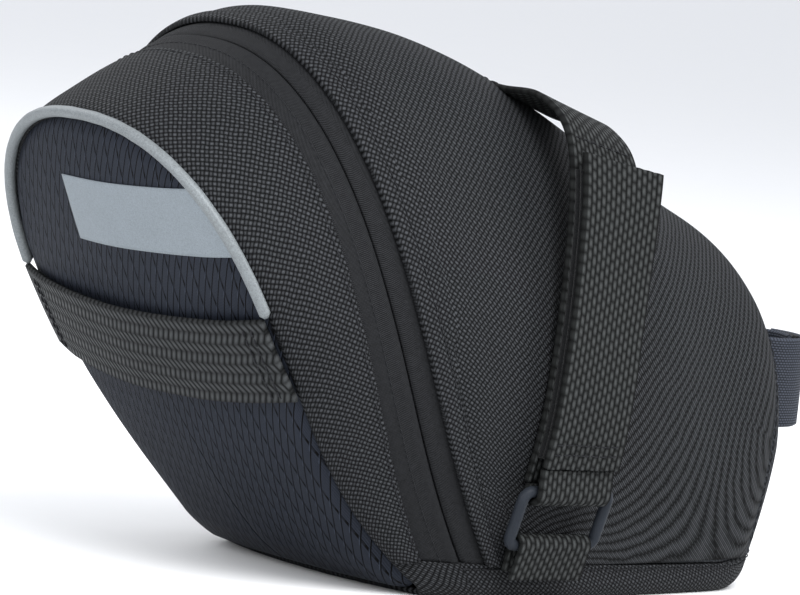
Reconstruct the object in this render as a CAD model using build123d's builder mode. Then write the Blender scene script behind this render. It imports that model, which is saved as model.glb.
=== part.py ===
"""Saddle bag for a bicycle, in millimetres.

Frame: +X towards the seat post, +Y to the rider's left, +Z up.  The flat base of the bag lies on
Z = 0, and the origin is under the middle of the whole bag.

The body of the bag is one smooth envelope, lofted through arch-shaped sections.  Every layer of
cloth is the space between that envelope and an inset copy of it, and the layers are cut into
panels by the zip line (a cylinder about an axis along Y), by the rear panel's dome (a sphere) and
by level seams.
"""
from build123d import *
from math import cos, hypot, radians, sin
import os

# ---- driving dimensions -------------------------------------------------------------------
# sections of the envelope: (base x, base z, crest x, crest z, base half width, widest half width,
# height of the widest point as a share of the section's height)
SECTIONS = [
    (-53.0, 5.0, -121.0, 90.0, 26.0, 37.0, 0.58),
    (-41.0, 0.8, -105.6, 97.6, 31.5, 43.6, 0.58),
    (-21.0, -0.3, -72.5, 117.0, 39.0, 50.6, 0.53),
    (-7.0, -0.6, -53.0, 122.6, 40.0, 51.0, 0.50),
    (7.0, -0.6, -23.0, 118.0, 40.0, 49.3, 0.50),
    (23.0, -0.6, 7.0, 107.0, 38.5, 46.0, 0.50),
    (41.0, -0.6, 35.0, 94.5, 36.0, 41.5, 0.50),
    (60.0, -0.6, 60.0, 82.0, 32.5, 35.5, 0.50),
    (72.0, -0.3, 73.0, 73.0, 29.0, 31.0, 0.50),
    (80.5, 2.5, 81.0, 61.0, 23.0, 26.0, 0.50),
    (85.0, 8.0, 84.5, 50.0, 17.0, 20.0, 0.50),
]
BASE_CORNER = 5.0         # height of the rounded corner along the base
SHOULDER = 0.735          # how square the shoulders of a section are (0.707 is an ellipse)
REACH = 300.0             # larger than the bag, for cutting solids

SKIN = 1.4                # outer cloth with its backing
LINING = 0.8              # inner cloth
BINDING = 1.0             # folded hem standing proud of the skin
FOAM = 5.0                # pad inside the rear panel
BOARD = 2.0               # stiffener on the floor of the bag
SEWN_GAP = 0.1            # between curved layers that are sewn together
BODY_GAP = 0.3            # clear space between bodies that part from each other

ZIP_AXIS = (206.0, 188.4)  # x, z of the axis of the cylinder that the zip line lies on
ZIP_RADIUS = 289.65
TAPE_REAR = 8.0           # tape seen behind the teeth
TAPE_FRONT = 5.5          # tape seen ahead of the teeth
HEM = 9.0                 # width of the shell's folded edge
COIL_WIDTH = 1.6          # one side of the teeth
COIL_HEIGHT = 1.4
BASE_SEAM_Z = 8.0         # height of the seam round the base
FRONT_SEAM_X = 70.0       # where the front panel begins

DOME_CENTRE = (82.6, 0.0, 163.3)
DOME_RADIUS = 200.0
PIPING = 2.8              # thickness of the piping round the rear panel
WEBBING = 1.5             # thickness of the woven webbing
WEB_WIDTH = 20.0
LOOP_Z = 49.0             # height of the light loop's middle
LOOP_LIFT = 2.2           # free height under the light loop's middle
LOOP_END_LIFT = 0.15      # free height at its sewn ends
LOOP_HALF = 41.0          # half the light loop's length
PATCH_THICK = 0.5
PATCH = [(11.0, 34.0), (-28.5, 35.0), (-34.5, 20.0), (10.0, 19.5)]  # y, and height up the panel
PATCH_DATUM_Z = 53.0      # height on the panel that the patch's corners are measured from

STRAP_X = 0.0             # middle of the rail straps
STRAP_SLOPE = -0.30       # rise of the strap per unit of x, as the crest falls forward
TAPE = 1.2                # thickness of hook tape and of loop tape
RING_BAR = 1.3            # radius of the ring's bars
FOLD_CLEAR = 0.2          # between the ring's upper bar and the webbing folded round it
TAB_CLEAR = 0.15          # between the ring's lower bar and the tab folded round it
RING_TOP = (48.9, 25.5)   # y, z of the ring's upper bar
RING_FOOT = (45.0, 13.2)  # y, z of the ring's lower bar
RING_SPAN = 24.4          # distance between the middles of the ring's end bars

LOOP_CENTRE_X = 93.0      # middle of the seat-post loop
LOOP_LOW_Z = 36.5         # lower edge of the seat-post strap
LOOP_INNER_R = 10.0       # inside of the inner seat-post strap
POST_WEB = 1.4
POST_TAPE = 0.8

SLIDER_Z = 30.0           # height of the slider when the bag is shut
PULL_LENGTH = 20.0

os.makedirs("parts", exist_ok=True)


# ---- the envelope and the cutting shapes --------------------------------------------------
def envelope(inset):
    """The bag's outer form, drawn in by the inset on every side."""
    with BuildPart(mode=Mode.PRIVATE) as form:
        for base_x, base_z, crest_x, crest_z, base_w, wide_w, wide_at in SECTIONS:
            rise_x = crest_x - base_x
            rise_z = crest_z - base_z
            height = hypot(rise_x, rise_z)
            wide_h = wide_at * height
            arch_h = height - inset - wide_h
            base_half = base_w - inset
            wide_half = wide_w - inset
            plane = Plane(
                origin=(base_x, 0, base_z),
                x_dir=(0, 1, 0),
                z_dir=(rise_z / height, 0, -rise_x / height),
            )
            with BuildSketch(plane):
                with BuildLine():
                    foot = (base_half, inset + BASE_CORNER)
                    toe = (base_half - BASE_CORNER, inset)
                    Spline(
                        foot,
                        ((base_half + wide_half) / 2 + 1, (foot[1] + wide_h) / 2),
                        (wide_half, wide_h),
                        (wide_half * SHOULDER, wide_h + arch_h * SHOULDER),
                        (0, height - inset),
                        tangents=((0.2, 1), (-1, 0)),
                        tangent_scalars=(1, 1),
                    )
                    RadiusArc(foot, toe, BASE_CORNER)
                    Line(toe, (0, inset))
                    mirror(about=Plane.YZ)
                make_face()
        loft()
        split(bisect_by=Plane.XY.offset(inset), keep=Keep.TOP)
    return form.part


def zip_cylinder(radius):
    """Everything ahead of a line concentric with the zip line."""
    with BuildPart(mode=Mode.PRIVATE) as form:
        with BuildSketch(Plane.XZ.offset(-REACH / 2)):
            with Locations(ZIP_AXIS):
                Circle(radius)
        extrude(amount=REACH)
    return form.part


def dome(radius):
    """Everything ahead of a surface concentric with the rear panel's dome."""
    with BuildPart(mode=Mode.PRIVATE) as form:
        with Locations(DOME_CENTRE):
            Sphere(radius)
    return form.part


OUTER = envelope(0)
UNDER_SKIN = envelope(SKIN)
CAVITY = envelope(SKIN + LINING)

SPLIT_REAR = zip_cylinder(ZIP_RADIUS + BODY_GAP / 2)
SPLIT_FRONT = zip_cylinder(ZIP_RADIUS - BODY_GAP / 2)
TAPE_REAR_EDGE = zip_cylinder(ZIP_RADIUS + TAPE_REAR)
TAPE_FRONT_EDGE = zip_cylinder(ZIP_RADIUS - TAPE_FRONT)
HEM_FRONT_EDGE = zip_cylinder(ZIP_RADIUS - TAPE_FRONT - HEM)


def finish(piece, name):
    """Label a finished piece and write it out."""
    piece.part.label = name
    export_step(piece.part, f"parts/{name}.step")


# ---- rear shell: the lid of the bag -------------------------------------------------------
PANEL_INSET = PIPING / 2 + 0.2      # the panel's cloth ends inside the piping
DOME_SKIN = dome(DOME_RADIUS - SKIN)
DOME_FOAM = dome(DOME_RADIUS - SKIN - FOAM)
DOME_LINING = dome(DOME_RADIUS - SKIN - FOAM - LINING)
PANEL_FORM = envelope(PANEL_INSET)
REAR_ROOM = CAVITY & DOME_LINING

with BuildPart() as reflective_piping:
    add(envelope(-PIPING / 2))
    add(dome(DOME_RADIUS + PIPING / 4), mode=Mode.INTERSECT)
    add(dome(DOME_RADIUS - PIPING * 3 / 4), mode=Mode.SUBTRACT)
    add(PANEL_FORM, mode=Mode.SUBTRACT)
    split(bisect_by=Plane.XY.offset(LOOP_Z + WEB_WIDTH * 0.56), keep=Keep.TOP)
finish(reflective_piping, "reflective_piping")

with BuildPart() as rear_panel:
    add(PANEL_FORM)
    add(dome(DOME_RADIUS), mode=Mode.INTERSECT)
    add(DOME_SKIN, mode=Mode.SUBTRACT)
finish(rear_panel, "rear_panel")

with BuildPart() as rear_foam:
    add(envelope(SKIN + LINING + 1))
    add(DOME_SKIN, mode=Mode.INTERSECT)
    add(DOME_FOAM, mode=Mode.SUBTRACT)
finish(rear_foam, "rear_foam")

with BuildPart() as rear_gusset:
    add(OUTER)
    add(dome(DOME_RADIUS), mode=Mode.INTERSECT)
    add(UNDER_SKIN, mode=Mode.SUBTRACT)
    add(TAPE_REAR_EDGE, mode=Mode.SUBTRACT)
    add(reflective_piping.part, mode=Mode.SUBTRACT)
    add(rear_panel.part, mode=Mode.SUBTRACT)
    split(bisect_by=Plane.XY.offset(BASE_SEAM_Z), keep=Keep.TOP)
finish(rear_gusset, "rear_gusset")

with BuildPart() as rear_base:
    add(OUTER)
    add(dome(DOME_RADIUS), mode=Mode.INTERSECT)
    add(UNDER_SKIN, mode=Mode.SUBTRACT)
    add(SPLIT_REAR, mode=Mode.SUBTRACT)
    add(rear_panel.part, mode=Mode.SUBTRACT)
    split(bisect_by=Plane.XY.offset(BASE_SEAM_Z), keep=Keep.BOTTOM)
finish(rear_base, "rear_base")

with BuildPart() as rear_lining:
    add(UNDER_SKIN)
    add(DOME_FOAM, mode=Mode.INTERSECT)
    add(REAR_ROOM, mode=Mode.SUBTRACT)
    add(TAPE_REAR_EDGE, mode=Mode.SUBTRACT)
    split(bisect_by=Plane.XY.offset(BASE_SEAM_Z / 4), keep=Keep.TOP)
finish(rear_lining, "rear_lining")

with BuildPart() as rear_zip_tape:
    add(UNDER_SKIN)
    add(TAPE_REAR_EDGE, mode=Mode.INTERSECT)
    add(SPLIT_REAR, mode=Mode.SUBTRACT)
    add(CAVITY, mode=Mode.SUBTRACT)
    add(rear_panel.part, mode=Mode.SUBTRACT)
    split(bisect_by=Plane.XY.offset(BASE_SEAM_Z), keep=Keep.TOP)
finish(rear_zip_tape, "rear_zip_tape")

UNDER_COIL = envelope(SKIN + LINING + COIL_HEIGHT)

with BuildPart() as rear_zip_coil:
    add(CAVITY)
    add(zip_cylinder(ZIP_RADIUS + BODY_GAP / 2 + COIL_WIDTH), mode=Mode.INTERSECT)
    add(SPLIT_REAR, mode=Mode.SUBTRACT)
    add(UNDER_COIL, mode=Mode.SUBTRACT)
    add(rear_foam.part, mode=Mode.SUBTRACT)
    split(bisect_by=Plane.XY.offset(BASE_SEAM_Z), keep=Keep.TOP)
finish(rear_zip_coil, "rear_zip_coil")


def panel_plane(height):
    """A plane square to the panel's slope, with y' pointing out of the panel at that height."""
    run = (DOME_RADIUS**2 - (height - DOME_CENTRE[2]) ** 2) ** 0.5
    return Plane(
        origin=(DOME_CENTRE[0] - run, 0, height),
        x_dir=(0, 1, 0),
        z_dir=((height - DOME_CENTRE[2]) / DOME_RADIUS, 0, run / DOME_RADIUS),
    )


with BuildPart() as light_loop:
    LOOP_FALL = DOME_RADIUS - (DOME_RADIUS**2 - LOOP_HALF**2) ** 0.5
    with BuildSketch(panel_plane(LOOP_Z)):
        with BuildLine():
            inner_end = (LOOP_HALF, LOOP_END_LIFT - LOOP_FALL)
            outer_end = (LOOP_HALF, inner_end[1] + WEBBING)
            ThreePointArc((-inner_end[0], inner_end[1]), (0, LOOP_LIFT), inner_end)
            Line(inner_end, outer_end)
            ThreePointArc(outer_end, (0, LOOP_LIFT + WEBBING), (-outer_end[0], outer_end[1]))
            Line((-outer_end[0], outer_end[1]), (-inner_end[0], inner_end[1]))
        make_face()
    extrude(amount=WEB_WIDTH / 2, both=True)
finish(light_loop, "light_loop")

with BuildPart() as reflective_patch:
    face_plane = panel_plane(PATCH_DATUM_Z)
    with BuildSketch(Plane(origin=face_plane.origin, x_dir=(0, 1, 0), z_dir=-face_plane.y_dir)):
        with BuildLine():
            Polyline([(y, -up) for y, up in PATCH], close=True)
        make_face()
    extrude(amount=DOME_RADIUS / 8, both=True)
    add(dome(DOME_RADIUS + PATCH_THICK), mode=Mode.INTERSECT)
    add(dome(DOME_RADIUS), mode=Mode.SUBTRACT)
finish(reflective_patch, "reflective_patch")

# ---- main shell ---------------------------------------------------------------------------
with BuildPart() as shell_skin:
    add(OUTER)
    add(UNDER_SKIN, mode=Mode.SUBTRACT)

with BuildPart() as wrap_panel:
    add(shell_skin.part)
    add(TAPE_FRONT_EDGE, mode=Mode.INTERSECT)
    split(bisect_by=Plane.XY.offset(BASE_SEAM_Z), keep=Keep.TOP)
    split(bisect_by=Plane.YZ.offset(FRONT_SEAM_X), keep=Keep.BOTTOM)
finish(wrap_panel, "wrap_panel")

with BuildPart() as front_panel:
    add(shell_skin.part)
    split(bisect_by=Plane.XY.offset(BASE_SEAM_Z), keep=Keep.TOP)
    split(bisect_by=Plane.YZ.offset(FRONT_SEAM_X), keep=Keep.TOP)
finish(front_panel, "front_panel")

with BuildPart() as bottom_panel:
    add(shell_skin.part)
    split(bisect_by=Plane.XY.offset(BASE_SEAM_Z), keep=Keep.BOTTOM)
    add(SPLIT_FRONT, mode=Mode.INTERSECT)
finish(bottom_panel, "bottom_panel")

with BuildPart() as shell_hem:
    add(envelope(-BINDING))
    add(OUTER, mode=Mode.SUBTRACT)
    add(TAPE_FRONT_EDGE, mode=Mode.INTERSECT)
    add(HEM_FRONT_EDGE, mode=Mode.SUBTRACT)
    split(bisect_by=Plane.XY.offset(BASE_SEAM_Z), keep=Keep.TOP)
finish(shell_hem, "shell_hem")

with BuildPart() as main_zip_tape:
    add(UNDER_SKIN)
    add(SPLIT_FRONT, mode=Mode.INTERSECT)
    add(HEM_FRONT_EDGE, mode=Mode.SUBTRACT)
    add(CAVITY, mode=Mode.SUBTRACT)
    split(bisect_by=Plane.XY.offset(BASE_SEAM_Z), keep=Keep.TOP)
finish(main_zip_tape, "main_zip_tape")

with BuildPart() as main_zip_coil:
    add(CAVITY)
    add(SPLIT_FRONT, mode=Mode.INTERSECT)
    add(zip_cylinder(ZIP_RADIUS - BODY_GAP / 2 - COIL_WIDTH), mode=Mode.SUBTRACT)
    add(UNDER_COIL, mode=Mode.SUBTRACT)
    split(bisect_by=Plane.XY.offset(BASE_SEAM_Z), keep=Keep.TOP)
finish(main_zip_coil, "main_zip_coil")

with BuildPart() as main_lining:
    add(UNDER_SKIN)
    add(CAVITY, mode=Mode.SUBTRACT)
    add(HEM_FRONT_EDGE, mode=Mode.INTERSECT)
finish(main_lining, "main_lining")

with BuildPart() as base_board:
    add(envelope(SKIN + LINING))
    add(HEM_FRONT_EDGE, mode=Mode.INTERSECT)
    split(bisect_by=Plane.XY.offset(SKIN + LINING + BOARD), keep=Keep.BOTTOM)
finish(base_board, "base_board")

# ---- saddle-rail straps, one on each side -------------------------------------------------
# middle line of the webbing, as y and z: sewn on the crest, out over the rail, and down the side
STRAP_ARCH = [
    (11.0, 109.4),
    (18.0, 108.0),
    (25.0, 107.6),
    (33.0, 107.7),
    (39.0, 106.0),
    (43.5, 103.3),
    (46.3, 100.0),
]
STRAP_SIDE = [
    (48.3, 95.0),
    (49.8, 86.0),
    (50.6, 76.0),
    (50.9, 66.0),
    (50.7, 56.0),
    (50.1, 46.0),
    (49.0, 37.0),
    (47.0, 28.0),
]
STRAP_FOOT = (45.4, 22.0)
RUN_LOW_Z = 27.3          # lower end of the strap's inner run
TAPES_Z = (33.0, 96.0)    # lower and upper ends of its hook tape and loop tape
TAIL_Z = (31.0, 100.0)    # lower and upper ends of its free tail
FOLD_TOP_Z = 30.7         # where the fold round the ring meets the tail
FOLD_INNER_Z = 27.0       # where it meets the inner run
TAB_WEB = 1.0             # thickness of the ring's tab
TAB_FAR = (42.4, 5.5)     # y, z of the ends of the tab's two legs, sewn into the base seam
TAB_NEAR = (43.8, 7.0)


def shifted(points, distance):
    """The points moved sideways, to the left of the way they run."""
    moved = []
    for i, (y, z) in enumerate(points):
        before = points[max(i - 1, 0)]
        after = points[min(i + 1, len(points) - 1)]
        run_y = after[0] - before[0]
        run_z = after[1] - before[1]
        length = hypot(run_y, run_z)
        moved.append((y - run_z / length * distance, z + run_y / length * distance))
    return moved


def strap_layer(points, near, far, low_z, high_z):
    """A layer of a rail strap, between two distances from the webbing's middle line."""
    rear_edge = (STRAP_X - WEB_WIDTH / 2, 0, -STRAP_SLOPE * WEB_WIDTH / 2)
    with BuildPart(mode=Mode.PRIVATE) as layer:
        with BuildSketch(Plane(origin=rear_edge, x_dir=(0, 1, 0), z_dir=(1, 0, 0))):
            with BuildLine():
                inner = shifted(points, near)
                outer = shifted(points, far)
                Spline(inner)
                Line(inner[-1], outer[-1])
                Spline(outer)
                Line(inner[0], outer[0])
            make_face()
        extrude(amount=WEB_WIDTH * hypot(1, STRAP_SLOPE), dir=(1, 0, STRAP_SLOPE))
        split(bisect_by=Plane.XY.offset(low_z), keep=Keep.TOP)
        split(bisect_by=Plane.XY.offset(high_z), keep=Keep.BOTTOM)
    return layer.part


def half_loop(centre, radius, thick, far_point, near_point):
    """Webbing turned round a bar at the centre, with its two legs, as a strip along X."""
    with BuildPart(mode=Mode.PRIVATE) as loop:
        with BuildSketch(Plane.YZ.offset(STRAP_X - WEB_WIDTH / 2)):
            with BuildLine():
                rise = 1 if far_point[1] < centre[1] else -1
                for around in (radius, radius + thick):
                    sides = [(centre[0] + end * around, centre[1]) for end in (-1, 1)]
                    ThreePointArc(sides[0], (centre[0], centre[1] + rise * around), sides[1])
                    Line(sides[0], (near_point[0] - around, near_point[1]))
                    Line(sides[1], (far_point[0] + around, far_point[1]))
                for end, point in ((-1, near_point), (1, far_point)):
                    Line(
                        (point[0] + end * radius, point[1]),
                        (point[0] + end * (radius + thick), point[1]),
                    )
            make_face()
        extrude(amount=WEB_WIDTH)
    return loop.part


def strap_ring():
    """A rectangular ring of round bar, leaning with the side of the bag."""
    lean_y = RING_TOP[0] - RING_FOOT[0]
    lean_z = RING_TOP[1] - RING_FOOT[1]
    height = hypot(lean_y, lean_z)
    plane = Plane(
        origin=(STRAP_X, (RING_TOP[0] + RING_FOOT[0]) / 2, (RING_TOP[1] + RING_FOOT[1]) / 2),
        x_dir=(1, 0, 0),
        z_dir=(0, -lean_z / height, lean_y / height),
    )
    with BuildPart(mode=Mode.PRIVATE) as ring:
        with BuildLine(plane) as path:
            half = RING_SPAN / 2
            rise = height / 2
            corners = [(half, rise), (-half, rise), (-half, -rise), (half, -rise)]
            FilletPolyline(corners, radius=RING_BAR * 1.6, close=True)
        with BuildSketch(Plane(origin=path.line @ 0, z_dir=path.line % 0)):
            Circle(RING_BAR)
        sweep()
    return ring.part


def on_side(side, shape):
    """The shape as it is on the left, or mirrored for the right."""
    return shape if side == "left" else mirror(shape, about=Plane.XZ)


TAPE_NEAR = WEBBING / 2 + SEWN_GAP
HOOK_NEAR = TAPE_NEAR + TAPE + BODY_GAP
TAIL_NEAR = HOOK_NEAR + TAPE + SEWN_GAP

STRAP_RUN = STRAP_ARCH + STRAP_SIDE + [STRAP_FOOT]
TAIL_RUN = STRAP_ARCH[-2:] + STRAP_SIDE
RAIL_STRAP = strap_layer(STRAP_RUN, -WEBBING / 2, WEBBING / 2, RUN_LOW_Z, REACH)
FOLD_ENDS = ((RING_TOP[0], FOLD_TOP_Z), (RING_TOP[0], FOLD_INNER_Z))
RING_TAB = half_loop(RING_FOOT, RING_BAR + TAB_CLEAR, TAB_WEB, TAB_FAR, TAB_NEAR)
STRAP_PIECES = {
    "rail_strap": RAIL_STRAP - OUTER,
    "loop_tape": strap_layer(STRAP_SIDE, TAPE_NEAR, TAPE_NEAR + TAPE, *TAPES_Z),
    "hook_tape": strap_layer(STRAP_SIDE, HOOK_NEAR, HOOK_NEAR + TAPE, *TAPES_Z),
    "strap_tail": strap_layer(TAIL_RUN, TAIL_NEAR, TAIL_NEAR + WEBBING, *TAIL_Z),
    "strap_fold": half_loop(RING_TOP, RING_BAR + FOLD_CLEAR, WEBBING, *FOLD_ENDS),
    "ring_tab": RING_TAB - OUTER - shell_hem.part,
    "strap_ring": strap_ring(),
}
for side in ("left", "right"):
    for kind, shape in STRAP_PIECES.items():
        with BuildPart() as strap_piece:
            add(on_side(side, shape))
        finish(strap_piece, f"{kind}_{side}")

# ---- seat-post strap ----------------------------------------------------------------------
INNER_R = (LOOP_INNER_R, LOOP_INNER_R + POST_WEB)
POST_LOOP_R = (INNER_R[1], INNER_R[1] + POST_TAPE)
POST_HOOK_R = (POST_LOOP_R[1] + BODY_GAP, POST_LOOP_R[1] + BODY_GAP + POST_TAPE)
OUTER_R = (POST_HOOK_R[1], POST_HOOK_R[1] + POST_WEB)
FACE_X = 84.9              # the front panel's flat face, with a little play


def ring_sector(radii, start, end):
    """Part of an upright ring about the seat-post loop's axis, between two angles."""
    with BuildPart(mode=Mode.PRIVATE) as sector:
        with BuildSketch(Plane.XY.offset(LOOP_LOW_Z)):
            with BuildLine():
                for radius in radii:
                    CenterArc((LOOP_CENTRE_X, 0), radius, start, end - start)
                for angle in (start, end):
                    ray = (cos(radians(angle)), sin(radians(angle)))
                    Line(
                        (LOOP_CENTRE_X + radii[0] * ray[0], radii[0] * ray[1]),
                        (LOOP_CENTRE_X + radii[1] * ray[0], radii[1] * ray[1]),
                    )
            make_face()
        extrude(amount=WEB_WIDTH)
        split(bisect_by=Plane.YZ.offset(FACE_X + BODY_GAP), keep=Keep.TOP)
    return sector.part


POST_PIECES = {
    "post_strap_outer": (OUTER_R, -150, 20),
    "post_hook_tape": (POST_HOOK_R, -32, 18),
    "post_strap_inner": (INNER_R, -35, 160),
    "post_loop_tape": (POST_LOOP_R, -33, 30),
}
for name, (radii, start, end) in POST_PIECES.items():
    with BuildPart() as post_piece:
        add(ring_sector(radii, start, end))
    finish(post_piece, name)

# ---- zip slider and its pull --------------------------------------------------------------
SLIDER_LONG = 10.0
SLIDER_WIDE = 7.5
SLIDER_THICK = 1.4
SLIDER_CLEAR = 0.7
CROWN_HIGH = 2.6
CROWN_WIDE = 2.2
CROWN_THICK = 1.2
CROWN_APART = 5.5          # between the middles of the crown's two lugs
CROWN_AT = -SLIDER_LONG / 4
CORNER_R = 1.2             # of the pull tab
GRIP_CORNER_R = 1.8
GRIP_SKIN = 0.8            # rubber on each face of the tab
GRIP_SHARE = 0.64          # how much of the tab the rubber covers
PULL_WIDE = 5.0
PULL_THICK = 1.2
LEG_LEAN = 0.17            # how much the left leg of the zip leans outward as it rises

slider_run = -(ZIP_RADIUS**2 - (SLIDER_Z - ZIP_AXIS[1]) ** 2) ** 0.5
SLIDER_OUT = Vector(slider_run, 0, SLIDER_Z - ZIP_AXIS[1]).normalized()
SLIDER_UP = Vector(SLIDER_OUT.Z, LEG_LEAN, -SLIDER_OUT.X).normalized()
SLIDER_Y = 48.2
SLIDER_PLANE = Plane(
    origin=(ZIP_AXIS[0] + slider_run, SLIDER_Y + SLIDER_CLEAR, SLIDER_Z),
    x_dir=SLIDER_UP,
    z_dir=SLIDER_OUT.cross(SLIDER_UP),
)

with BuildPart() as zip_slider:
    with BuildSketch(SLIDER_PLANE):
        RectangleRounded(SLIDER_LONG, SLIDER_WIDE, SLIDER_WIDE / 3)
    extrude(amount=SLIDER_THICK)
    with BuildSketch(SLIDER_PLANE.offset(SLIDER_THICK)):
        with Locations((CROWN_AT, CROWN_APART / 2), (CROWN_AT, -CROWN_APART / 2)):
            Rectangle(CROWN_WIDE, CROWN_THICK)
    extrude(amount=CROWN_HIGH)
finish(zip_slider, "zip_slider")

PIN_UP = SLIDER_THICK + CROWN_HIGH / 2
PIN_PLANE = Plane(
    origin=SLIDER_PLANE.from_local_coords(Vector(CROWN_AT, 0, PIN_UP)),
    x_dir=SLIDER_PLANE.x_dir,
    z_dir=SLIDER_PLANE.z_dir,
)

with BuildPart() as pull_tab:
    with BuildSketch(PIN_PLANE.offset(-PULL_THICK / 2)):
        with Locations((-PULL_LENGTH / 2, 0)):
            RectangleRounded(PULL_LENGTH + 2, PULL_WIDE - 1, CORNER_R)
    extrude(amount=PULL_THICK)
finish(pull_tab, "pull_tab")

with BuildPart() as pull_grip:
    with BuildSketch(PIN_PLANE.offset(-PULL_THICK / 2 - GRIP_SKIN)):
        with Locations((-PULL_LENGTH * (1 - GRIP_SHARE / 2), 0)):
            RectangleRounded(PULL_LENGTH * GRIP_SHARE, PULL_WIDE, GRIP_CORNER_R)
    extrude(amount=PULL_THICK + 2 * GRIP_SKIN)
    add(pull_tab.part, mode=Mode.SUBTRACT)
finish(pull_grip, "pull_grip")
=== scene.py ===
"""The looks of the saddle bag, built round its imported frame.

Lengths in this script are millimetres until a mesh is made; make_mesh turns them into metres.
The bag's form is the same lofted envelope as the frame's, written as a formula, so that every
panel is a smooth grid between two named lines on it.
"""
import math
import bmesh
import bpy
import numpy as np
from mathutils import Matrix, Vector, noise


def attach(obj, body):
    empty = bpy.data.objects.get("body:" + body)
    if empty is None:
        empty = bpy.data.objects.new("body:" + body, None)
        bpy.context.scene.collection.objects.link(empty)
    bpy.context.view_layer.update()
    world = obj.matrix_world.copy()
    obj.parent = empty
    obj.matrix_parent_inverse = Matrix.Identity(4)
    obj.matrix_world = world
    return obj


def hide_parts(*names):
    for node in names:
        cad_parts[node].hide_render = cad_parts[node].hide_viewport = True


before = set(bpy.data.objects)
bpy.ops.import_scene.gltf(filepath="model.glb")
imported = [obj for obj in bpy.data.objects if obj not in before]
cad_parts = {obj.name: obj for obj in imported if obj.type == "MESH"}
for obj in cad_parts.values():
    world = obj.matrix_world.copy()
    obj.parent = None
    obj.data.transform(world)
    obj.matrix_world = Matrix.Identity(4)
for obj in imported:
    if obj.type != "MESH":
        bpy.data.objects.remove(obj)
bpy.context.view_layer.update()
MM = 0.001
PI = math.pi
BIAS = math.sqrt(0.5)              # cosine of 45 degrees

# ---- sizes shared with the frame ----------------------------------------------------------
# base x, base z, crest x, crest z, base half width, widest half width, height share of widest
SECTIONS = np.array([
    (-53.0, 5.0, -121.0, 90.0, 26.0, 37.0, 0.58),
    (-41.0, 0.8, -105.6, 97.6, 31.5, 43.6, 0.58),
    (-21.0, -0.3, -72.5, 117.0, 39.0, 50.6, 0.53),
    (-7.0, -0.6, -53.0, 122.6, 40.0, 51.0, 0.50),
    (7.0, -0.6, -23.0, 118.0, 40.0, 49.3, 0.50),
    (23.0, -0.6, 7.0, 107.0, 38.5, 46.0, 0.50),
    (41.0, -0.6, 35.0, 94.5, 36.0, 41.5, 0.50),
    (60.0, -0.6, 60.0, 82.0, 32.5, 35.5, 0.50),
    (72.0, -0.3, 73.0, 73.0, 29.0, 31.0, 0.50),
    (80.5, 2.5, 81.0, 61.0, 23.0, 26.0, 0.50),
    (85.0, 8.0, 84.5, 50.0, 17.0, 20.0, 0.50),
])
LAST = len(SECTIONS) - 1
CORNER = 5.0
ARCH_POWER = 2 / 2.251            # exponent of the shoulders' superellipse
SKIN = 1.4
ZIP_AXIS = np.array([206.0, 188.4])
ZIP_R = 289.65
TAPE_REAR, TAPE_FRONT, HEM = 8.0, 5.5, 9.0
FOAM = 5.0
DOME_C = np.array([82.6, 0.0, 163.3])
DOME_R = 200.0
SEAM_Z = 8.0
WEB = 20.0                        # width of the webbing
LOOP_Z = 49.0                     # middle of the light loop
FRONT_SEAM = 8.2                  # section at which the front panel begins
NOSE_X, NOSE_Z = 86.4, 27.0       # where the upper part of the front panel comes together
LINING_TIP = np.array([82.8, 0.0, NOSE_Z])
POST = np.array([93.0, 0.0, 46.5])          # middle of the seat-post loop
PANEL_Z = 53.0                    # height of the rear panel's datum
STRAP_SLOPE = -0.30

# ---- small numeric tools ------------------------------------------------------------------


def natural_spline(values):
    """Second derivatives of the natural cubic spline through rows of values at 0, 1, 2..."""
    n = len(values)
    a = np.eye(n)
    b = np.zeros_like(values)
    for i in range(1, n - 1):
        a[i, i - 1:i + 2] = (1, 4, 1)
        b[i] = 6 * (values[i - 1] - 2 * values[i] + values[i + 1])
    return np.linalg.solve(a, b)


def spline_at(values, curve, x):
    """The natural spline's value at x, which may be an array."""
    i = np.clip(np.floor(x).astype(int), 0, len(values) - 2)
    f = (x - i)[..., None]
    g = 1 - f
    low, high = values[i], values[i + 1]
    return g * low + f * high + ((g**3 - g) * curve[i] + (f**3 - f) * curve[i + 1]) / 6


SECTION_CURVE = natural_spline(SECTIONS)


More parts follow.
